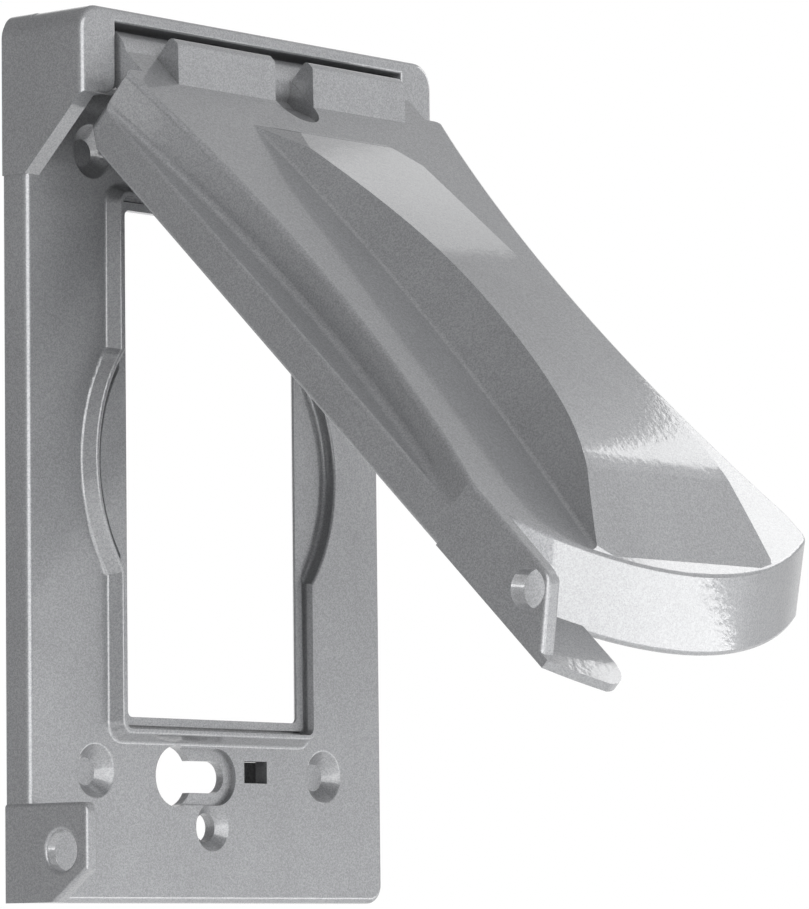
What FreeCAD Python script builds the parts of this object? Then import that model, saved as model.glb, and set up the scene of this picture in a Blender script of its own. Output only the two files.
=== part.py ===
import FreeCAD, Part
import math
import os

# Single-gang weatherproof flip cover for a rectangular-face outlet.
# A die-cast plate with a hood and two hinge legs carries a die-cast lid on a steel pin.
# Millimetres. The origin is the centre of the plate's back plane, +Y goes into the wall, +Z is up.

# Plate, sized round the outlet's two screws and the opening
device_screw_spacing = 96.8
screw_to_end = 10.25
lobe_radius = 24.0
lobe_to_edge = 11.85
plate_front = 4.1
plate_wall = 2.05
skirt_wall = 2.25
plate_corner_radius = 2.65

# Hood, hinge legs and cheeks
hood_front = 14.35
hood_wall = 1.9
hood_corner_radius = 3.4
cheek_proud = 0.3
cheek_wall = 2.7
cheek_foot_below_top = 21.6
leg_width = 6.65
leg_length = 11.65
leg_corner_radius = 2.05

# Hinge
hinge_off_wall = 11.6
hinge_below_top = 6.8
pin_radius = 1.6
pin_bore_clearance = 0.05
pin_end_recess = 0.8
barrel_radius = 4.3
barrel_end_gap = 0.4
open_angle_deg = 45.87

# Opening in the plate, its raised dam and the device insert
opening_half_width = 19.0
opening_to_screw = 12.8
dam_height = 1.95
dam_foot_width = 1.65
dam_crest_width = 0.6
dam_corner_radius = 2.65
seat_step = 0.35
lobe_seat_step = 1.55
seat_ledge = 1.05
lobe_ledge = 1.55
back_chamfer_width = 1.6
insert_thickness = 1.35
insert_proud = 0.4
insert_edge = 0.4
insert_clearance = 0.2
insert_side_strip = 1.25
insert_end_strip = 1.1
window_corner_radius = 0.8

# Fixing holes
device_screw_hole_radius = 1.95
countersink_radius = 3.3
screw_boss_radius = 4.5
screw_boss_floor = 1.05
box_screw_inset = 6.75
keyhole_radius = 4.1
keyhole_entry_x = -7.25
keyhole_slot_height = 4.3
keyhole_slot_end_x = 3.15
keyhole_step_height = 7.7
keyhole_step_depth = 0.8
drain_slot_width = 4.7
drain_slot_height = 3.0
drain_slot_x = 8.95
drain_slot_inset = 0.8
spot_to_side = 12.65
spot_inset = 0.4
spot_radius = 3.6
spot_floor_radius = 1.85
spot_depth = 1.95
spot_pad_radius = 5.15
spot_pad_floor = 0.9

# Padlock ear of the plate
ear_wall = 2.15
ear_front = 14.45
ear_height = 12.9
ear_chamfer_height = 4.15
ear_chamfer_front = 8.85
lock_hole_radius = 2.65
ear_corner_radius = 1.25

# Foam gasket behind the plate
gasket_side_gap = 0.3
gasket_opening_margin = 3.8
gasket_hole_margin = 0.6
gasket_slot_end_x = 6.0

# Lid shell: u runs from the hinge axis to the tip, v stands off the plate, both from the hinge axis
lid_side_gap = 0.4
lid_wall = 2.15
lid_rim_gap = 0.15
lid_rear = 6.65
lid_rear_corner_v = -5.15
lid_rear_corner_u = 10.25
face_rise_u = 6.15
face_rise_v = 3.5
face_slope = 0.0195
nose_inset = 1.55
nose_radius = 61.55
nose_rake = 0.68
nose_corner_radius = 2.25
nose_inner_corner_radius = 1.05
ledge_v = -2.35
ledge_wall = 1.95
waist_inset = 63.3
waist_depth = 5.85
waist_radius = 144.7

# Raised hump of the lid
hump_low_v = 0.0
hump_high_v = 9.25
hump_low_half = 13.35
hump_low_radius = 256.55
hump_high_half = 8.6
hump_high_radius = 159.05
hump_front_u = 15.2
hump_brow_u = 18.9
hump_brow_v = 5.55
hump_crown = [(0.22, 7.6), (0.46, 9.05), (0.635, 9.25), (0.81, 8.95), (0.94, 7.9)]
hump_shoulder_inset = 21.2
hump_shoulder_v = 6.75
hump_tail_inset = 7.25
hump_tail_v = 0.4
hump_reach = 3.0
hump_nose_gap = 0.3
hump_facet_low_w = 14.0
hump_facet_high_w = 9.45
hump_facet_back = (12.5, 20.5, 5.2)

# Fin with the lid's padlock hole, and the finger flange
fin_wall = 2.65
fin_start_inset = 21.2
fin_top_inset = 5.3
fin_overhang = 1.45
fin_corner_radius = 2.05
lock_hole_inset = 6.65
lock_hole_v = -1.75
flange_wall = 1.25
flange_reach = 11.1
flange_width = 13.75
flange_corner_radius = 4.6
flange_root = 8.2

# Hinge neck, stop lugs and the scoop between them
neck_floor_v = -1.05
lug_inner_w = 3.9
lug_outer_w = 23.4
lug_foot_u = 8.3
lug_ridge_v = 7.25
lug_back_u = 2.8
lug_ridge_radius = 0.7
scoop_half_width = 3.8
scoop_end_u = 8.4
scoop_floor_v = 1.05
scoop_floor_u = 5.65
scoop_rise_u = 12.7

# Soft edges as the dies leave them
plate_edge_radius = 0.8
mouth_edge_radius = 0.4
ear_edge_radius = 0.5
dam_crest_radius = 0.3
dam_foot_radius = 0.5
hole_edge_radius = 0.3
ledge_root_radius = 1.0
lid_crest_radius = 0.8
nose_top_radius = 0.6
lid_rim_radius = 0.6
lid_rear_corner_radius = 2.0
hump_front_foot_radius = 1.2
hump_foot_radius = 0.6

# How far cutting solids and sketches run past the metal, and how near two places count as one
cut_overshoot = 0.5
clear_overshoot = 1.0
same_place = 0.01

# Worked out from the sizes above
screw_z = device_screw_spacing / 2
half_width = lobe_radius + lobe_to_edge
half_height = screw_z + screw_to_end
opening_half_height = screw_z - opening_to_screw
window_half_width = opening_half_width - seat_step - insert_clearance - insert_side_strip
window_half_height = opening_half_height - seat_step - insert_clearance - insert_end_strip
box_screw_z = screw_z - box_screw_inset
drain_slot_z = box_screw_z - drain_slot_inset
spot_x = half_width - spot_to_side
spot_z = box_screw_z - spot_inset
ear_top = half_height - ear_height
ear_chamfer_start = half_height - ear_chamfer_height
cheek_half_width = half_width + cheek_proud
leg_inner = cheek_half_width - leg_width
leg_bottom = half_height - leg_length
cheek_foot = half_height - cheek_foot_below_top
hinge_height = half_height - hinge_below_top
barrel_half = leg_inner - barrel_end_gap
lid_rim_v = plate_front + lid_rim_gap - hinge_off_wall
lid_half_width = cheek_half_width - cheek_wall - lid_side_gap
lid_reach = hinge_height + half_height
nose_centre_u = lid_reach - nose_inset - nose_radius
waist_u = lid_reach - waist_inset
hump_shoulder_u = lid_reach - hump_shoulder_inset
hump_tail_u = lid_reach - hump_tail_inset
fin_start_u = lid_reach - fin_start_inset
fin_top_u = lid_reach - fin_top_inset
fin_end_u = lid_reach + fin_overhang
lock_hole_u = lid_reach - lock_hole_inset
flange_radius = nose_radius + flange_reach
flange_side_w = lid_half_width - flange_width
flange_corner_w = flange_side_w + flange_corner_radius
flange_inner_radius = nose_radius - flange_root
sides = (-1, 1)


def soften(shape, radius, chosen):
    """Round the edges of a shape whose middle and length a test picks out."""
    picked = [edge for edge in shape.Edges if chosen(edge.CenterOfMass, edge.Length)]
    return shape.makeFillet(radius, picked)


def same(first, second):
    """Whether two distances are one and the same place."""
    return abs(first - second) < same_place


def prism_x(profile, x_low, x_high):
    """A solid of a (y, z) outline, from x_low to x_high."""
    corners = [FreeCAD.Vector(x_low, y, z) for y, z in profile]
    face = Part.Face(Part.makePolygon(corners + corners[:1]))
    return face.extrude(FreeCAD.Vector(x_high - x_low, 0, 0))


def rounded_plate(half_x, half_z, radius, depth_front, depth_back):
    """A rectangular slab with rounded corners, between two distances off the wall."""
    slab = Part.makeBox(2 * half_x, depth_front - depth_back, 2 * half_z,
                        FreeCAD.Vector(-half_x, -depth_front, -half_z))
    upright = [edge for edge in slab.Edges if abs(edge.tangentAt(edge.FirstParameter).y) > 0.9]
    return slab.makeFillet(radius, upright)


def round_bar(radius, x, z, depth_front, depth_back):
    """A cylinder that stands off the wall, between two distances."""
    return Part.makeCylinder(radius, depth_front - depth_back, FreeCAD.Vector(x, -depth_front, z),
                             FreeCAD.Vector(0, 1, 0))


def stadium(radius, x_start, x_end, z, depth_front, depth_back):
    """A slot shape along X with round ends, between two distances off the wall."""
    body = Part.makeBox(x_end - x_start, depth_front - depth_back, 2 * radius,
                        FreeCAD.Vector(x_start, -depth_front, z - radius))
    for x in (x_start, x_end):
        body = body.fuse(round_bar(radius, x, z, depth_front, depth_back))
    return body


def opening_solid(margin, corner, depth_front, depth_back, lobe_margin=None):
    """The lobed opening of the plate, grown by a margin all round."""
    slab = rounded_plate(opening_half_width + margin, opening_half_height + margin, corner,
                         depth_front, depth_back)
    lobe = lobe_radius + (margin if lobe_margin is None else lobe_margin)
    return slab.fuse(round_bar(lobe, 0, 0, depth_front, depth_back))


def dam_outline(half_x, half_z, radius, depth):
    """A closed wire round the rectangular part of the dam, at one height."""
    straight_x = half_x - radius
    straight_z = half_z - radius
    diagonal = radius * math.sqrt(0.5)
    edges = []
    corners = [(1, 1), (-1, 1), (-1, -1), (1, -1)]
    for place, (sx, sz) in enumerate(corners):
        next_sx, next_sz = corners[(place + 1) % 4]
        side_end = FreeCAD.Vector(sx * half_x, -depth, sz * straight_z)
        top_end = FreeCAD.Vector(sx * straight_x, -depth, sz * half_z)
        middle = FreeCAD.Vector(sx * (straight_x + diagonal), -depth, sz * (straight_z + diagonal))
        ends = (side_end, top_end) if sx == sz else (top_end, side_end)
        edges.append(Part.Arc(ends[0], middle, ends[1]).toShape())
        if sx == sz:
            following = FreeCAD.Vector(next_sx * straight_x, -depth, next_sz * half_z)
        else:
            following = FreeCAD.Vector(next_sx * half_x, -depth, next_sz * straight_z)
        edges.append(Part.LineSegment(ends[1], following).toShape())
    return Part.Wire(edges)


def opening_dam():
    """The raised dam round the opening, with its sloped outer side."""
    crest = plate_front + dam_height
    foot = dam_outline(opening_half_width + dam_foot_width, opening_half_height + dam_foot_width,
                       dam_corner_radius, plate_front)
    top = dam_outline(opening_half_width + dam_crest_width, opening_half_height + dam_crest_width,
                      dam_corner_radius - dam_foot_width + dam_crest_width, crest)
    straight = Part.makeLoft([foot, top], True, True)
    lobes = Part.makeCone(lobe_radius + dam_foot_width, lobe_radius + dam_crest_width, dam_height,
                          FreeCAD.Vector(0, -plate_front, 0), FreeCAD.Vector(0, -1, 0))
    return straight.fuse(lobes)


def hood_and_legs():
    """The hood over the hinge, the two legs that hold the pin, and the cheeks beside them."""
    outline = rounded_plate(cheek_half_width, half_height, hood_corner_radius, hood_front, 0)
    roof = Part.makeBox(2 * cheek_half_width, hood_front, hood_wall,
                        FreeCAD.Vector(-cheek_half_width, -hood_front, half_height - hood_wall))
    shape = roof
    cheek_profile = [(0, half_height), (-hood_front, half_height), (-hood_front, leg_bottom),
                     (-plate_front, cheek_foot), (0, cheek_foot)]
    for side in sides:
        outer = side * cheek_half_width
        inner = side * (cheek_half_width - cheek_wall)
        shape = shape.fuse(prism_x(cheek_profile, min(outer, inner), max(outer, inner)))
        leg = Part.makeBox(leg_width, hood_front - plate_wall, leg_length,
                           FreeCAD.Vector(min(outer, side * leg_inner), -hood_front, leg_bottom))
        rounded = [edge for edge in leg.Edges
                   if abs(edge.tangentAt(edge.FirstParameter).y) > 0.9
                   and abs(edge.CenterOfMass.x - side * leg_inner) < 0.01
                   and abs(edge.CenterOfMass.z - leg_bottom) < 0.01]
        shape = shape.fuse(leg.makeFillet(leg_corner_radius, rounded))
    return shape.common(outline)


def padlock_ear():
    """The ear at the lower left corner, with its padlock hole still to be cut."""
    profile = [(0, -half_height), (-ear_chamfer_front, -half_height), (-ear_front, -ear_chamfer_start),
               (-ear_front, -ear_top), (0, -ear_top)]
    ear = prism_x(profile, -cheek_half_width, -cheek_half_width + ear_wall)
    crown = [edge for edge in ear.Edges
             if abs(edge.CenterOfMass.y + ear_front) < 0.01 and abs(edge.CenterOfMass.z + ear_top) < 0.01]
    return ear.makeFillet(ear_corner_radius, crown)


def fixing_bosses():
    """The bosses behind the plate round the screw holes and the drill spots."""
    bosses = []
    for end in sides:
        bosses.append(round_bar(screw_boss_radius, 0, end * screw_z, plate_front, screw_boss_floor))
        for side in sides:
            bosses.append(round_bar(spot_pad_radius, side * spot_x, end * spot_z,
                                    plate_front, spot_pad_floor))
    return bosses


def fixing_holes():
    """The screw holes, keyholes, drain slots and drill spots, mirrored top and bottom."""
    cuts = []
    front = plate_front + cut_overshoot
    for end in sides:
        sink = countersink_radius - device_screw_hole_radius
        cuts.append(round_bar(device_screw_hole_radius, 0, end * screw_z, front, -cut_overshoot))
        cuts.append(Part.makeCone(countersink_radius, device_screw_hole_radius, sink,
                                  FreeCAD.Vector(0, -plate_front, end * screw_z),
                                  FreeCAD.Vector(0, 1, 0)))
        key_z = end * box_screw_z
        slot_half = keyhole_slot_height / 2
        step_half = keyhole_step_height / 2
        slot_centre = keyhole_slot_end_x - slot_half
        cuts.append(round_bar(keyhole_radius, keyhole_entry_x, key_z, front, 0))
        cuts.append(stadium(slot_half, keyhole_entry_x, slot_centre, key_z, front, 0))
        cuts.append(stadium(step_half, keyhole_entry_x, slot_centre, key_z, front,
                            plate_front - keyhole_step_depth))
        cuts.append(Part.makeBox(drain_slot_width, front, drain_slot_height,
                                 FreeCAD.Vector(drain_slot_x - drain_slot_width / 2, -front,
                                                end * drain_slot_z - drain_slot_height / 2)))
        for side in sides:
            cuts.append(Part.makeCone(spot_radius, spot_floor_radius, spot_depth,
                                      FreeCAD.Vector(side * spot_x, -plate_front,
                                                     end * spot_z),
                                      FreeCAD.Vector(0, 1, 0)))
    return cuts


def base_frame():
    """The one die-cast piece that is screwed to the box."""
    body = rounded_plate(half_width, half_height, plate_corner_radius, plate_front, 0)
    pocket = rounded_plate(half_width - skirt_wall, half_height - skirt_wall, plate_corner_radius,
                           plate_front - plate_wall, -clear_overshoot)
    body = body.cut(pocket)
    body = body.fuse([hood_and_legs(), padlock_ear(), opening_dam()] + fixing_bosses())
    crest = plate_front + dam_height + clear_overshoot
    seat_depth = plate_front + insert_proud - insert_thickness
    body = body.cut(opening_solid(0, dam_corner_radius - dam_foot_width, crest, plate_front))
    body = body.cut(opening_solid(-seat_step, window_corner_radius, crest, seat_depth, -lobe_seat_step))
    through = rounded_plate(opening_half_width - seat_step,
                            opening_half_height - seat_step - seat_ledge, window_corner_radius, crest,
                            -clear_overshoot)
    through = through.fuse(round_bar(lobe_radius - lobe_seat_step - lobe_ledge, 0, 0, crest,
                                     -clear_overshoot))
    hollow = plate_front - plate_wall
    chamfer_z = opening_half_height - seat_step - seat_ledge
    chamfer_front = dam_outline(opening_half_width - seat_step, chamfer_z, window_corner_radius, seat_depth)
    chamfer_back = dam_outline(opening_half_width - seat_step + back_chamfer_width, chamfer_z,
                               window_corner_radius, hollow)
    body = body.cut([through, Part.makeLoft([chamfer_front, chamfer_back], True, True)])
    pin_hole = Part.makeCylinder(pin_radius, 2 * cheek_half_width, hinge_point(-blind_end()),
                                 FreeCAD.Vector(1, 0, 0))
    lock_hole = Part.makeCylinder(lock_hole_radius, 3 * ear_wall,
                                  lock_point(-cheek_half_width - ear_wall), FreeCAD.Vector(1, 0, 0))
    body = body.cut(fixing_holes() + [pin_hole, lock_hole]).removeSplitter()
    return soft_hood_edges(soft_plate_edges(body))


def soft_plate_edges(body):
    """The plate's rim, the dam and the holes with the small radii of the die."""
    crest = plate_front + dam_height
    outer_x = half_width - plate_corner_radius / 2
    outer_z = half_height - plate_corner_radius / 2
    foot_x = lobe_radius + dam_foot_width + same_place
    foot_z = opening_half_height + dam_foot_width + same_place
    inner_x = opening_half_width + same_place
    inner_z = opening_half_height + same_place
    body = soften(body, plate_edge_radius, lambda middle, length: same(middle.y, -plate_front)
                  and length > 1.5 * plate_corner_radius
                  and (abs(middle.x) > outer_x or middle.z < -outer_z))
    body = soften(body, dam_crest_radius, lambda middle, length: same(middle.y, -crest)
                  and length > dam_crest_width
                  and (abs(middle.x) > inner_x or abs(middle.z) > inner_z))
    body = soften(body, dam_foot_radius, lambda middle, length: same(middle.y, -plate_front)
                  and length > dam_foot_width
                  and abs(middle.x) < foot_x and abs(middle.z) < foot_z
                  and (abs(middle.x) > inner_x or abs(middle.z) > inner_z))
    return soften(body, hole_edge_radius, lambda middle, length: same(middle.y, -plate_front)
                  and (same(abs(middle.x), spot_x)
                       or (same(middle.x, 0) and same(abs(middle.z), screw_z))))


def soft_hood_edges(body):
    """The front edges of the hood, its mouth and the ear, rounded as the die leaves them."""
    outer_x = half_width - hood_corner_radius / 2
    ear_inner = -cheek_half_width + ear_wall
    body = soften(body, plate_edge_radius, lambda middle, length: same(middle.y, -hood_front)
                  and length > 1.5 * hood_corner_radius and middle.z > leg_bottom
                  and (abs(middle.x) > outer_x or same(middle.z, half_height)))
    body = soften(body, mouth_edge_radius, lambda middle, length: same(middle.y, -hood_front)
                  and (same(abs(middle.x), leg_inner) or same(middle.z, half_height - hood_wall)))
    return soften(body, ear_edge_radius, lambda middle, length: middle.z < -ear_top
                  and length > ear_corner_radius * 2
                  and middle.y < -ear_chamfer_front
                  and (same(middle.x, -cheek_half_width) or same(middle.x, ear_inner)))


def hinge_point(x):
    """A point of the hinge axis."""
    return FreeCAD.Vector(x, -hinge_off_wall, hinge_height)


def lock_point(x):
    """A point of the padlock holes' axis when the lid is shut."""
    return FreeCAD.Vector(x, -hinge_off_wall - lock_hole_v, hinge_height - lock_hole_u)


def blind_end():
    """How far from the middle the pin's blind hole ends, inside the left leg."""
    return cheek_half_width - cheek_wall


def device_insert():
    """The thin plate that closes the opening down to the outlet's face."""
    front = plate_front + insert_proud
    back = front - insert_thickness
    plate = opening_solid(-seat_step - insert_clearance, window_corner_radius, front, back,
                          -lobe_seat_step - insert_clearance)
    window = rounded_plate(window_half_width, window_half_height, window_corner_radius,
                            front + clear_overshoot, -clear_overshoot)
    bevel = front - insert_edge - back
    front_wire = dam_outline(window_half_width, window_half_height, window_corner_radius, back + bevel)
    back_wire = dam_outline(window_half_width + bevel, window_half_height + bevel,
                            window_corner_radius + bevel, back)
    return plate.cut(window).cut(Part.makeLoft([front_wire, back_wire], True, True)).removeSplitter()


def wall_gasket():
    """The foam gasket in the hollow back of the plate."""
    thickness = plate_front - plate_wall
    sheet = rounded_plate(half_width - skirt_wall - gasket_side_gap,
                          half_height - skirt_wall - gasket_side_gap, plate_corner_radius, thickness, 0)
    front = thickness + clear_overshoot
    back = -clear_overshoot
    cuts = [opening_solid(gasket_opening_margin, plate_corner_radius, front, back)]
    for end in sides:
        cuts.append(round_bar(screw_boss_radius + gasket_hole_margin, 0, end * screw_z, front, back))
        slot_radius = keyhole_radius + gasket_hole_margin
        cuts.append(stadium(slot_radius, keyhole_entry_x, gasket_slot_end_x - slot_radius,
                            end * box_screw_z, front, back))
        for side in sides:
            cuts.append(round_bar(spot_pad_radius + gasket_hole_margin, side * spot_x,
                                  end * spot_z, front, back))
    return sheet.cut(cuts).removeSplitter()


def hinge_pin():
    """The steel pin, pressed into both legs from the right."""
    end = cheek_half_width - pin_end_recess
    return Part.makeCylinder(pin_radius, blind_end() + end, hinge_point(-blind_end()),
                             FreeCAD.Vector(1, 0, 0))


def lid_point(w, u, v):
    """A point of the shut lid: w across, u from the hinge to the tip, v off the plate."""
    return FreeCAD.Vector(w, -hinge_off_wall - v, hinge_height - u)


def lid_profile(profile, w_low, w_high):
    """A solid of a (u, v) outline of the shut lid, from w_low to w_high."""
    corners = [lid_point(w_low, u, v) for u, v in profile]
    face = Part.Face(Part.makePolygon(corners + corners[:1]))
    return face.extrude(FreeCAD.Vector(w_high - w_low, 0, 0))


def face_v(u):
    """Height of the lid's flat face, which falls slightly to the tip."""
    return face_rise_v - face_slope * (u - face_rise_u)


def nose_u(w, radius):
    """Where the nose arc of a given radius lies, at rim level."""
    return nose_centre_u + math.sqrt(radius * radius - w * w)


def nose_bulk(inset):
    """The lid's plan with its nose arc, swept along the raked nose wall."""
    half = lid_half_width - inset
    radius = nose_radius - inset * math.hypot(1, nose_rake)
    corner = nose_inner_corner_radius if inset else nose_corner_radius
    low = lid_rim_v - (2 * lid_wall if inset else 0)
    shift = -nose_rake * (low - lid_rim_v)

    def at(w, u):
        return lid_point(w, u + shift, low)

    corner_w = half - corner
    corner_u = nose_centre_u + math.sqrt((radius - corner) ** 2 - corner_w ** 2)
    lean = math.atan2(corner_w, corner_u - nose_centre_u)
    bend = (lean + math.pi / 2) / 2
    left = at(-half, nose_u(half, radius))
    tip = at(0, nose_u(0, radius))
    arc_end = at(radius * math.sin(lean), nose_centre_u + radius * math.cos(lean))
    corner_middle = at(corner_w + corner * math.sin(bend), corner_u + corner * math.cos(bend))
    right = at(half, corner_u)
    back_right = at(half, -nose_radius)
    back_left = at(-half, -nose_radius)
    outline = Part.Wire([Part.Arc(left, tip, arc_end).toShape(),
                         Part.Arc(arc_end, corner_middle, right).toShape(),
                         Part.LineSegment(right, back_right).toShape(),
                         Part.LineSegment(back_right, back_left).toShape(),
                         Part.LineSegment(back_left, left).toShape()])
    rise = hump_high_v - low
    return Part.Face(outline).extrude(FreeCAD.Vector(0, -rise, nose_rake * rise))


def lid_envelope(inset):
    """The lid's closed outer form, or with an inset the space inside its walls."""
    low = lid_rim_v - (2 * lid_wall if inset else 0)
    reach = nose_centre_u + nose_radius * 1.5
    rear = lid_rear + inset
    if inset:
        profile = [(rear, low), (reach, low)]
    else:
        profile = [(rear, lid_rear_corner_v), (lid_rear_corner_u, low), (reach, low)]
    profile += [(reach, face_v(reach) - inset), (rear, face_v(rear) - inset)]
    return nose_bulk(inset).common(lid_profile(profile, -2 * lid_half_width, 2 * lid_half_width))


def waist_cutters(inset):
    """The two large cylinders that pull the lid's sides in above the ledge."""
    ledge = ledge_v - (ledge_wall if inset else 0)
    centre = lid_half_width - waist_depth + waist_radius
    return [Part.makeCylinder(waist_radius + inset, hump_high_v - ledge,
                              lid_point(side * centre, waist_u, ledge), FreeCAD.Vector(0, -1, 0))
            for side in sides]


def hourglass(half, radius, v):
    """A closed wire of the hump's waisted plan at one height."""
    u_start = hump_front_u - hump_reach
    u_end = hump_tail_u + hump_reach

    def at(side, u):
        w = half + radius - math.sqrt(radius * radius - (u - waist_u) ** 2)
        return lid_point(side * w, u, v)

    right = Part.Arc(at(1, u_start), at(1, waist_u), at(1, u_end)).toShape()
    tail = Part.LineSegment(at(1, u_end), at(-1, u_end)).toShape()
    left = Part.Arc(at(-1, u_end), at(-1, waist_u), at(-1, u_start)).toShape()
    front = Part.LineSegment(at(-1, u_start), at(1, u_start)).toShape()
    return Part.Wire([right, tail, left, front])


def hump(inset):
    """The raised hump, or with an inset the hollow under it."""
    low = hump_low_v - inset
    sides_of_hump = Part.makeLoft([hourglass(hump_low_half - inset, hump_low_radius, low),
                                   hourglass(hump_high_half - inset, hump_high_radius, hump_high_v)],
                                  True, True)
    front_v = face_v(hump_front_u)
    rake = (hump_brow_u - hump_front_u) / (hump_brow_v - front_v)
    brow = (hump_brow_u + inset, hump_brow_v - inset)
    length = hump_shoulder_u - hump_brow_u
    crown = [brow] + [(hump_brow_u + share * length, v - inset) for share, v in hump_crown]
    crown.append((hump_shoulder_u - inset, hump_shoulder_v - inset))
    tail = (hump_tail_u - 2 * inset, hump_tail_v - inset)
    end = (tail[0], low)
    start = (brow[0] - rake * (brow[1] - low), low)
    curve = Part.BSplineCurve()
    curve.interpolate([lid_point(0, u, v) for u, v in crown])
    chain = [crown[-1], tail, end, start, brow]
    edges = [curve.toShape()]
    for first, second in zip(chain, chain[1:]):
        edges.append(Part.LineSegment(lid_point(0, *first), lid_point(0, *second)).toShape())
    profile = Part.Face(Part.Wire(edges))
    reach = lid_half_width
    profile.translate(FreeCAD.Vector(-reach, 0, 0))
    block = sides_of_hump.common(profile.extrude(FreeCAD.Vector(2 * reach, 0, 0)))
    return block.common(nose_bulk(inset if inset else hump_nose_gap))


def hump_facets():
    """Two solids that cut the sloped facets at the hump's front corners."""
    cutters = []
    for side in sides:
        low = lid_point(side * hump_facet_low_w, hump_front_u, face_v(hump_front_u))
        high = lid_point(side * hump_facet_high_w, hump_brow_u, hump_brow_v)
        back = lid_point(side * hump_facet_back[0], hump_facet_back[1], hump_facet_back[2])
        normal = (high - low).cross(back - low)
        if normal.y > 0:
            normal = -normal
        normal.normalize()
        span = high - low
        span.normalize()
        across = normal.cross(span)
        size = hump_low_half
        centre = (low + high + back) / 3
        corners = [centre + span * a + across * b
                   for a, b in ((-size, -size), (size, -size), (size, size), (-size, size))]
        face = Part.Face(Part.makePolygon(corners + corners[:1]))
        cutters.append(face.extrude(normal * size))
    return cutters


def lid_fin():
    """The left side wall carried on past the nose, for the padlock hole."""
    profile = [(fin_start_u, lid_rim_v), (fin_end_u, lid_rim_v), (fin_top_u, face_v(fin_top_u)),
               (fin_start_u, face_v(fin_start_u))]
    fin = lid_profile(profile, -lid_half_width, -lid_half_width + fin_wall)
    top = lid_point(0, fin_top_u, face_v(fin_top_u))
    corner = [edge for edge in fin.Edges
              if abs(edge.CenterOfMass.y - top.y) < 0.01 and abs(edge.CenterOfMass.z - top.z) < 0.01]
    return fin.makeFillet(fin_corner_radius, corner)


def finger_flange():
    """The flat flange at rim level by the left corner, to lift the lid by."""
    def at(w, u):
        return lid_point(w, u, lid_rim_v)

    def on_arc(w, radius):
        return at(w, nose_u(w, radius))

    outer_start = on_arc(-lid_half_width, flange_radius)
    outer_middle = on_arc(-(lid_half_width + flange_corner_w) / 2, flange_radius)
    outer_end = on_arc(-flange_corner_w, flange_radius)
    corner_u = nose_u(flange_corner_w, flange_radius) - flange_corner_radius
    bow = flange_corner_radius * (1 - math.sqrt(0.5))
    corner_middle = at(-flange_side_w - bow, corner_u + flange_corner_radius * math.sqrt(0.5))
    corner_end = at(-flange_side_w, corner_u)
    inner_end = on_arc(-flange_side_w, flange_inner_radius)
    inner_start = on_arc(-lid_half_width, flange_inner_radius)
    outline = Part.Wire([Part.Arc(outer_start, outer_middle, outer_end).toShape(),
                         Part.Arc(outer_end, corner_middle, corner_end).toShape(),
                         Part.LineSegment(corner_end, inner_end).toShape(),
                         Part.LineSegment(inner_end, inner_start).toShape(),
                         Part.LineSegment(inner_start, outer_start).toShape()])
    return Part.Face(outline).extrude(FreeCAD.Vector(0, -flange_wall, 0))


def hinge_neck():
    """The strip between the barrel and the lid's rear wall."""
    profile = [(0, neck_floor_v), (lid_rear + lid_wall, neck_floor_v),
               (lid_rear + lid_wall, face_v(lid_rear + lid_wall)), (0, face_v(0))]
    return lid_profile(profile, -barrel_half, barrel_half)


def stop_lugs():
    """The two lugs that meet the hood when the lid is fully open."""
    slope_run = lug_ridge_v - face_v(lug_foot_u)
    profile = [(lug_foot_u, face_v(lug_foot_u)), (lug_foot_u - slope_run, lug_ridge_v),
               (lug_back_u, lug_ridge_v), (lug_back_u, 0), (lug_foot_u, 0)]
    lugs = []
    for side in sides:
        low = min(side * lug_inner_w, side * lug_outer_w)
        high = max(side * lug_inner_w, side * lug_outer_w)
        lug = lid_profile(profile, low, high)
        ridge_y = -hinge_off_wall - lug_ridge_v
        ridge = [edge for edge in lug.Edges
                 if abs(edge.CenterOfMass.y - ridge_y) < 0.01
                 and abs(edge.tangentAt(edge.FirstParameter).x) > 0.9]
        lugs.append(lug.makeFillet(lug_ridge_radius, ridge))
    return lugs


def finger_scoop(barrel):
    """The scoop between the lugs, down to the barrel."""
    plan = Part.makeBox(2 * scoop_half_width, 2 * lug_ridge_v, scoop_end_u + barrel_radius,
                        lid_point(-scoop_half_width, scoop_end_u, 2 * lug_ridge_v))
    plan = plan.fuse(Part.makeCylinder(scoop_half_width, 2 * lug_ridge_v,
                                       lid_point(0, scoop_end_u, 0), FreeCAD.Vector(0, -1, 0)))
    floor = [(-barrel_radius, scoop_floor_v), (scoop_floor_u, scoop_floor_v),
             (scoop_rise_u, face_v(scoop_rise_u)), (scoop_rise_u, 2 * lug_ridge_v),
             (-barrel_radius, 2 * lug_ridge_v)]
    return plan.common(lid_profile(floor, -scoop_half_width, scoop_half_width)).cut(barrel)


def soften_lid(shape, radius, chosen):
    """Round the lid's edges that a test on w, u, v and length picks out."""
    return soften(shape, radius, lambda middle, length: chosen(
        middle.x, hinge_height - middle.z, -hinge_off_wall - middle.y, length))


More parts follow.
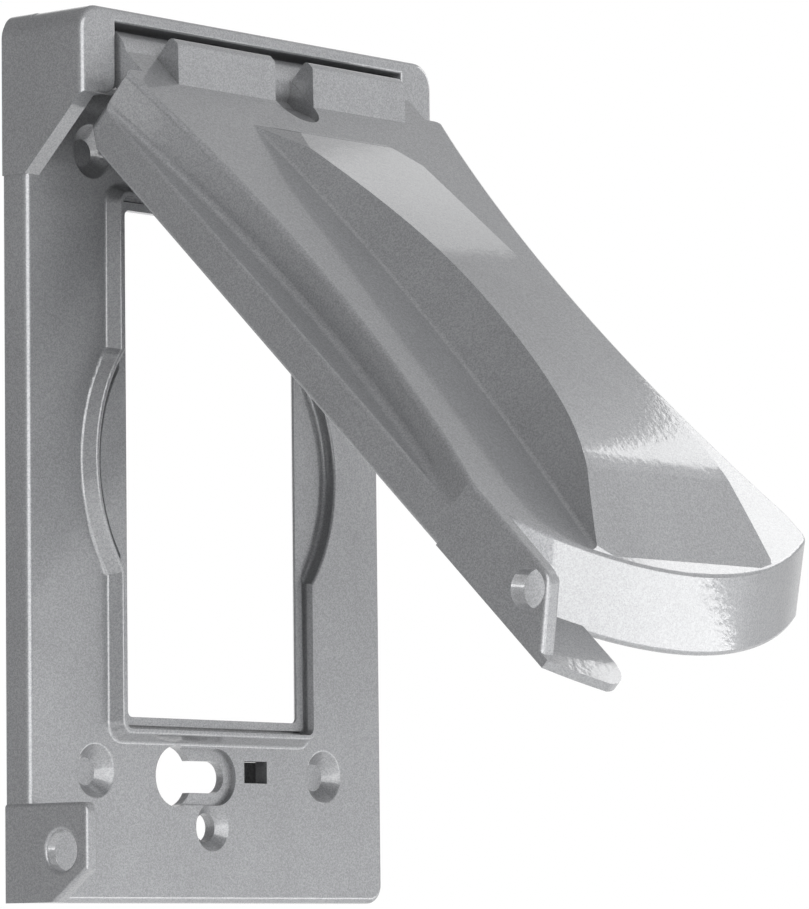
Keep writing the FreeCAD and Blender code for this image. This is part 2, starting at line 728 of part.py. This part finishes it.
def soft_lid_body():
    """The waisted lid and its fin, with the radii of its ledge, crest, nose and rim."""
    body = lid_envelope(0).cut(waist_cutters(0)).fuse([lid_fin()]).removeSplitter()
    long_edge = lid_reach / 2
    fin_inner = fin_wall - lid_half_width
    body = soften_lid(body, ledge_root_radius, lambda w, u, v, length: same(v, ledge_v)
                      and length > long_edge and abs(w) < lid_half_width - same_place)
    body = soften_lid(body, lid_crest_radius, lambda w, u, v, length: same(v, face_v(u))
                      and length > long_edge and abs(w) > lid_half_width / 2)
    body = soften_lid(body, nose_top_radius, lambda w, u, v, length: u > hump_shoulder_u
                      and abs(v - face_v(u)) < nose_top_radius / 4 and w > fin_inner - cut_overshoot)
    body = soften_lid(body, lid_rim_radius, lambda w, u, v, length: same(w, -lid_half_width)
                      and ((same(v, lid_rim_v) and length > long_edge)
                           or (u > hump_shoulder_u and v > lid_rim_v + 10 * same_place
                               and length > fin_corner_radius / 2)))
    body = soften_lid(body, lid_rim_radius, lambda w, u, v, length: same(v, lid_rim_v)
                      and (w > lid_half_width - cut_overshoot
                           or (length > long_edge and abs(w) < nose_corner_radius)))
    return body.cut(rear_corner_cutters())


def rear_corner_cutters():
    """What is cut away outside the rounded corners at the lid's hinge end."""
    cutters = []
    rise = lug_ridge_v - lid_rim_v + 2 * clear_overshoot
    radius = lid_rear_corner_radius
    for side in sides:
        outer = side * (lid_half_width + clear_overshoot)
        inner = side * (lid_half_width - radius)
        start = lid_point(min(outer, inner), lid_rear + radius, lid_rim_v - clear_overshoot)
        block = Part.makeBox(abs(outer - inner), rise, radius + clear_overshoot,
                             FreeCAD.Vector(start.x, start.y - rise, start.z))
        cutters.append(block.cut(Part.makeCylinder(
            radius, rise, lid_point(inner, lid_rear + radius, lid_rim_v - clear_overshoot),
            FreeCAD.Vector(0, -1, 0))))
    return cutters


def flip_lid():
    """The one die-cast lid, built shut and then turned to the open rest position."""
    shell = soft_lid_body()
    shell = shell.fuse([hump(0).cut(hump_facets())]).removeSplitter()
    shell = soften_lid(shell, hump_front_foot_radius, lambda w, u, v, length: same(w, 0)
                       and same(u, hump_front_u) and same(v, face_v(u)))
    shell = soften_lid(shell, hump_foot_radius, lambda w, u, v, length: length > lid_reach / 2
                       and hump_high_half < abs(w) < lid_half_width / 2 and 0 < v < face_rise_v)
    shell = shell.fuse([finger_flange()])
    cavity = lid_envelope(lid_wall).cut(waist_cutters(lid_wall))
    cavity = cavity.fuse(hump(lid_wall))
    barrel = Part.makeCylinder(barrel_radius, 2 * barrel_half, hinge_point(-barrel_half),
                               FreeCAD.Vector(1, 0, 0))
    shell = shell.fuse([barrel, hinge_neck()] + stop_lugs())
    shell = shell.cut([cavity, finger_scoop(barrel)])
    pin_bore = Part.makeCylinder(pin_radius + pin_bore_clearance, 2 * cheek_half_width,
                                 hinge_point(-cheek_half_width), FreeCAD.Vector(1, 0, 0))
    lock_hole = Part.makeCylinder(lock_hole_radius, 3 * fin_wall,
                                  lock_point(-lid_half_width - fin_wall), FreeCAD.Vector(1, 0, 0))
    shell = shell.cut([pin_bore, lock_hole]).removeSplitter()
    shell.rotate(hinge_point(0), FreeCAD.Vector(1, 0, 0), -open_angle_deg)
    return shell


os.makedirs("parts", exist_ok=True)
pieces = {
    "base_frame": base_frame(),
    "device_insert": device_insert(),
    "wall_gasket": wall_gasket(),
    "hinge_pin": hinge_pin(),
    "flip_lid": flip_lid(),
}
for name, shape in pieces.items():
    shape.exportStep("parts/" + name + ".step")
    box = shape.BoundBox
    print(name, "solids", len(shape.Solids), "valid", shape.isValid(), "volume", round(shape.Volume, 1),
          "x", round(box.XMin, 2), round(box.XMax, 2), "y", round(box.YMin, 2), round(box.YMax, 2),
          "z", round(box.ZMin, 2), round(box.ZMax, 2))
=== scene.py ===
import bpy
from mathutils import Matrix, Vector

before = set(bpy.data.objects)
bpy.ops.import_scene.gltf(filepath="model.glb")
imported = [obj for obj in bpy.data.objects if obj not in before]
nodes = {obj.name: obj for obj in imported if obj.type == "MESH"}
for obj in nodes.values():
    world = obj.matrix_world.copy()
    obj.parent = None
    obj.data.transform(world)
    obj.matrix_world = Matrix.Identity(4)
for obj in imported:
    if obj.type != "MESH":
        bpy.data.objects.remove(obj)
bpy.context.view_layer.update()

# Camera at the photograph's viewing angle, a long lens about 0.76 m from the cover.
# Its right, up and view axes and its place were found from the edges in the picture.
sensor_width = 36.0
picture_width = 809
focal_length_in_pixels = 5602.9
camera_data = bpy.data.cameras.new("photo_camera")
camera_data.sensor_fit = "HORIZONTAL"
camera_data.sensor_width = sensor_width
camera_data.lens = focal_length_in_pixels / picture_width * sensor_width
camera_data.clip_start = 0.05
camera = bpy.data.objects.new("photo_camera", camera_data)
view = Vector((0.7682, 0.6337, 0.0907))
back = (-view).normalized()
right = Vector((0.6371, -0.7707, -0.0112)).normalized()
up = back.cross(right).normalized()
right = up.cross(back)
place = Vector((-0.5680, -0.5070, -0.0672))
camera.matrix_world = Matrix.Translation(place) @ Matrix((right, up, back)).transposed().to_4x4()
bpy.context.scene.collection.objects.link(camera)
bpy.context.scene.camera = camera


# Pale floor, well below the cover, which hangs as it does on a wall.
# It is matt white studio paint, seen a little brighter than it is lit, and keeps the soft shadow.
def colour(code):
    """A linear colour from an sRGB hex code."""
    parts = [int(code[i:i + 2], 16) / 255 for i in (0, 2, 4)]
    return tuple(c / 12.92 if c < 0.04045 else ((c + 0.055) / 1.055) ** 2.4 for c in parts) + (1.0,)


def add(tree, kind, values=None, links=None, **settings):
    """Adds one node, sets its sockets, and links its inputs from other nodes' sockets."""
    node = tree.nodes.new(kind)
    for key, value in settings.items():
        setattr(node, key, value)
    for key, value in (values or {}).items():
        node.inputs[key].default_value = value
    for key, source in (links or {}).items():
        tree.links.new(source, node.inputs[key])
    return node


def empty_material(name):
    """A new material with no nodes yet."""
    material = bpy.data.materials.new(name)
    material.use_nodes = True
    material.node_tree.nodes.clear()
    return material


floor_z = -0.32
floor_half = 3
floor_corners = [(-floor_half, -floor_half, floor_z), (floor_half, -floor_half, floor_z),
                 (floor_half, floor_half, floor_z), (-floor_half, floor_half, floor_z)]
floor_mesh = bpy.data.meshes.new("floor")
floor_mesh.from_pydata(floor_corners, [], [(0, 1, 2, 3)])
floor = bpy.data.objects.new("floor", floor_mesh)
bpy.context.scene.collection.objects.link(floor)
floor_paint = empty_material("pale_floor")
tree = floor_paint.node_tree
rays = add(tree, "ShaderNodeLightPath")
mirrored = add(tree, "ShaderNodeMath", None,
               {0: rays.outputs["Is Glossy Ray"], 1: rays.outputs["Is Transmission Ray"]},
               operation="MAXIMUM")
seen = add(tree, "ShaderNodeMath", None,
           {0: rays.outputs["Is Camera Ray"], 1: mirrored.outputs["Value"]}, operation="MAXIMUM")
own_light = add(tree, "ShaderNodeMath", {1: 0.5}, {0: seen.outputs["Value"]}, operation="MULTIPLY")
shader = add(tree, "ShaderNodeBsdfPrincipled",
             {"Base Color": colour("F4F4F4"), "Roughness": 0.7, "Emission Color": colour("FFFFFF")},
             {"Emission Strength": own_light.outputs["Value"]})
add(tree, "ShaderNodeOutputMaterial", None, {"Surface": shader.outputs["BSDF"]})
floor_mesh.materials.append(floor_paint)

# Studio surround: a white backdrop behind the cover, which its metal shows too,
# pale walls to the front right, and a dimmer room to the back left.
world = bpy.data.worlds.new("studio")
bpy.context.scene.world = world
world.use_nodes = True
tree = world.node_tree
tree.nodes.clear()
facing = add(tree, "ShaderNodeTexCoord")
sideways = add(tree, "ShaderNodeVectorMath", {1: (0.77, -0.63, 0.05)}, {0: facing.outputs["Generated"]},
               operation="DOT_PRODUCT")
wall_place = add(tree, "ShaderNodeMapRange", {"From Min": -1.0, "From Max": 1.0},
                 {"Value": sideways.outputs["Value"]})
walls = add(tree, "ShaderNodeValToRGB", None, {"Fac": wall_place.outputs["Result"]})
walls.color_ramp.elements[0].position = 0.0
walls.color_ramp.elements[0].color = colour("A4A4A5")
walls.color_ramp.elements[1].position = 1.0
walls.color_ramp.elements[1].color = colour("D4D4D5")
for share, grey in ((0.15, "949495"), (0.5, "949495"), (0.75, "B4B4B5")):
    walls.color_ramp.elements.new(share).color = colour(grey)
towards = add(tree, "ShaderNodeVectorMath", {1: view}, {0: facing.outputs["Generated"]},
              operation="DOT_PRODUCT")
backdrop = add(tree, "ShaderNodeMapRange", {"From Min": 0.8, "From Max": 0.95},
               {"Value": towards.outputs["Value"]})
rays = add(tree, "ShaderNodeLightPath")
mirrored = add(tree, "ShaderNodeMath", None,
               {0: rays.outputs["Is Glossy Ray"], 1: rays.outputs["Is Transmission Ray"]},
               operation="MAXIMUM")
mirrored_backdrop = add(tree, "ShaderNodeMath", None,
                        {0: mirrored.outputs["Value"], 1: backdrop.outputs["Result"]}, operation="MULTIPLY")
white_share = add(tree, "ShaderNodeMath", None,
                  {0: rays.outputs["Is Camera Ray"], 1: mirrored_backdrop.outputs["Value"]},
                  operation="MAXIMUM")
room = add(tree, "ShaderNodeBackground", {"Strength": 1.0}, {"Color": walls.outputs["Color"]})
white = add(tree, "ShaderNodeBackground", {"Color": colour("FFFFFF"), "Strength": 1.0})
surround = add(tree, "ShaderNodeMixShader", None,
               {0: white_share.outputs["Value"], 1: room.outputs["Background"],
                2: white.outputs["Background"]})
add(tree, "ShaderNodeOutputWorld", None, {"Surface": surround.outputs["Shader"]})


# Studio softboxes: a wide one in front on the left gives most of the light, and a long low strip
# on the right fills. Two small ones on the right, by the lid's end and high up behind it, show
# as crisp bright patches in the coat of the lid's nose and hump.
def softbox(name, place, aim, width, height, power):
    """A rectangular area light, aimed at a point."""
    data = bpy.data.lights.new(name, "AREA")
    data.shape = "RECTANGLE"
    data.size = width
    data.size_y = height
    data.energy = power
    lamp = bpy.data.objects.new(name, data)
    lamp.location = place
    lamp.rotation_euler = (Vector(aim) - Vector(place)).to_track_quat("-Z", "Y").to_euler()
    lamp.visible_camera = False
    bpy.context.scene.collection.objects.link(lamp)


softbox("left_front_box", (-0.50, -1.00, 0.26), (0, -0.04, 0), 1.2, 1.1, 10.0)
softbox("low_right_box", (0.62, -0.80, -0.21), (0, -0.09, -0.04), 1.1, 0.13, 1.5)
softbox("lid_end_box", (0.40, -0.10, 0.20), (0, -0.08, -0.02), 0.16, 0.16, 0.2)
softbox("brow_box", (0.46, 0.126, 0.384), (0, -0.035, 0.035), 0.08, 0.07, 0.01)

# Base casting: the frame, hood, hinge legs and padlock ear are one aluminium die casting.
# It is sprayed with a silver-grey metallic lacquer, so flakes glitter a little under a slightly
# wavy clear film. Its colour is painted darker in deep recesses, as painted shade.
coat = empty_material("silver_grey_metallic_lacquer")
tree = coat.node_tree
spot = add(tree, "ShaderNodeTexCoord")
flake = add(tree, "ShaderNodeTexVoronoi", {"Scale": 6500.0}, {"Vector": spot.outputs["Object"]})
flake_parts = add(tree, "ShaderNodeSeparateColor", None, {"Color": flake.outputs["Color"]})
tone = add(tree, "ShaderNodeValToRGB", None, {"Fac": flake_parts.outputs["Red"]})
tone.color_ramp.elements[0].color = colour("8E8F91")
tone.color_ramp.elements[1].color = colour("A9AAAC")
cloud = add(tree, "ShaderNodeTexNoise", {"Scale": 90.0, "Detail": 5.0}, {"Vector": spot.outputs["Object"]})
cloud_tone = add(tree, "ShaderNodeMapRange",
                 {"From Min": 0.35, "From Max": 0.65, "To Min": 0.96, "To Max": 1.03},
                 {"Value": cloud.outputs["Fac"]})
# The casting's own occlusion marks deep recesses, where the colour is darkened as painted shade.
recess_occlusion = add(tree, "ShaderNodeAmbientOcclusion", {"Distance": 0.014}, samples=8, only_local=True)
painted_recess_shade = add(tree, "ShaderNodeMapRange", {"From Min": 0.1, "From Max": 0.6, "To Min": 0.25, "To Max": 1.0},
            {"Value": recess_occlusion.outputs["AO"]})
cloud_and_painted_shade = add(tree, "ShaderNodeMath", None, {0: cloud_tone.outputs["Result"], 1: painted_recess_shade.outputs["Result"]},
              operation="MULTIPLY")
lacquer_and_painted_shade = add(tree, "ShaderNodeVectorMath", None,
              {0: tone.outputs["Color"], 1: cloud_and_painted_shade.outputs["Value"]}, operation="MULTIPLY")
rough = add(tree, "ShaderNodeMapRange", {"To Min": 0.4, "To Max": 0.54},
            {"Value": flake_parts.outputs["Green"]})
peel = add(tree, "ShaderNodeTexNoise", {"Scale": 1100.0, "Detail": 3.0}, {"Vector": spot.outputs["Object"]})
peel_bump = add(tree, "ShaderNodeBump", {"Strength": 0.25, "Distance": 0.00005},
                {"Height": peel.outputs["Fac"]})
flake_bump = add(tree, "ShaderNodeBump", {"Strength": 0.2, "Distance": 0.00002},
                 {"Height": flake_parts.outputs["Blue"], "Normal": peel_bump.outputs["Normal"]})
shader = add(tree, "ShaderNodeBsdfPrincipled",
             {"Metallic": 0.6, "Coat Weight": 1.0, "Coat Roughness": 0.06, "Coat IOR": 1.75},
             {"Base Color": lacquer_and_painted_shade.outputs["Vector"], "Roughness": rough.outputs["Result"],
              "Normal": flake_bump.outputs["Normal"], "Coat Normal": peel_bump.outputs["Normal"]})
add(tree, "ShaderNodeOutputMaterial", None, {"Surface": shader.outputs["BSDF"]})
nodes["base_frame"].material_slots[0].material = coat

# Flip lid: the second aluminium die casting, with its waist, hump, nose, fin and flange.
# It turns on the pin and wears the same silver-grey metallic lacquer as the base.
nodes["flip_lid"].material_slots[0].material = coat

# Device insert: a thin aluminium plate pressed into the seat of the opening.
# It was sprayed together with the base, so it has the same lacquer.
nodes["device_insert"].material_slots[0].material = coat

# Wall gasket: a die-cut sheet of closed-cell foam rubber, stuck in the hollow of the plate.
# Its cut edge is matt black, with fine open cells.
foam = empty_material("black_closed_cell_foam")
tree = foam.node_tree
spot = add(tree, "ShaderNodeTexCoord")
cells = add(tree, "ShaderNodeTexVoronoi", {"Scale": 2200.0}, {"Vector": spot.outputs["Object"]})
foam_tone = add(tree, "ShaderNodeValToRGB", None, {"Fac": cells.outputs["Distance"]})
foam_tone.color_ramp.elements[0].color = colour("141415")
foam_tone.color_ramp.elements[1].color = colour("2A2A2B")
foam_rough = add(tree, "ShaderNodeMapRange", {"To Min": 0.95, "To Max": 0.8},
                 {"Value": cells.outputs["Distance"]})
foam_bump = add(tree, "ShaderNodeBump", {"Strength": 0.6, "Distance": 0.0001},
                {"Height": cells.outputs["Distance"]})
shader = add(tree, "ShaderNodeBsdfPrincipled", None,
             {"Base Color": foam_tone.outputs["Color"], "Roughness": foam_rough.outputs["Result"],
              "Normal": foam_bump.outputs["Normal"]})
add(tree, "ShaderNodeOutputMaterial", None, {"Surface": shader.outputs["BSDF"]})
nodes["wall_gasket"].material_slots[0].material = foam

# Hinge pin: drawn stainless steel wire, cut to length and pressed in from the right.
# Drawing leaves fine bright lines along it.
steel = empty_material("drawn_stainless_steel")
tree = steel.node_tree
spot = add(tree, "ShaderNodeTexCoord")
stretch = add(tree, "ShaderNodeMapping", {"Scale": (0.05, 1.0, 1.0)}, {"Vector": spot.outputs["Object"]})
lines = add(tree, "ShaderNodeTexNoise", {"Scale": 6000.0, "Detail": 3.0},
            {"Vector": stretch.outputs["Vector"]})
steel_tone = add(tree, "ShaderNodeValToRGB", None, {"Fac": lines.outputs["Fac"]})
steel_tone.color_ramp.elements[0].color = colour("AEAEB0")
steel_tone.color_ramp.elements[1].color = colour("C4C4C6")
steel_rough = add(tree, "ShaderNodeMapRange", {"To Min": 0.2, "To Max": 0.4},
                  {"Value": lines.outputs["Fac"]})
steel_bump = add(tree, "ShaderNodeBump", {"Strength": 0.3, "Distance": 0.00002},
                 {"Height": lines.outputs["Fac"]})
shader = add(tree, "ShaderNodeBsdfPrincipled", {"Metallic": 1.0},
             {"Base Color": steel_tone.outputs["Color"], "Roughness": steel_rough.outputs["Result"],
              "Normal": steel_bump.outputs["Normal"]})
add(tree, "ShaderNodeOutputMaterial", None, {"Surface": shader.outputs["BSDF"]})
nodes["hinge_pin"].material_slots[0].material = steel

# The picture's plain view.
bpy.context.scene.view_settings.view_transform = "Standard"
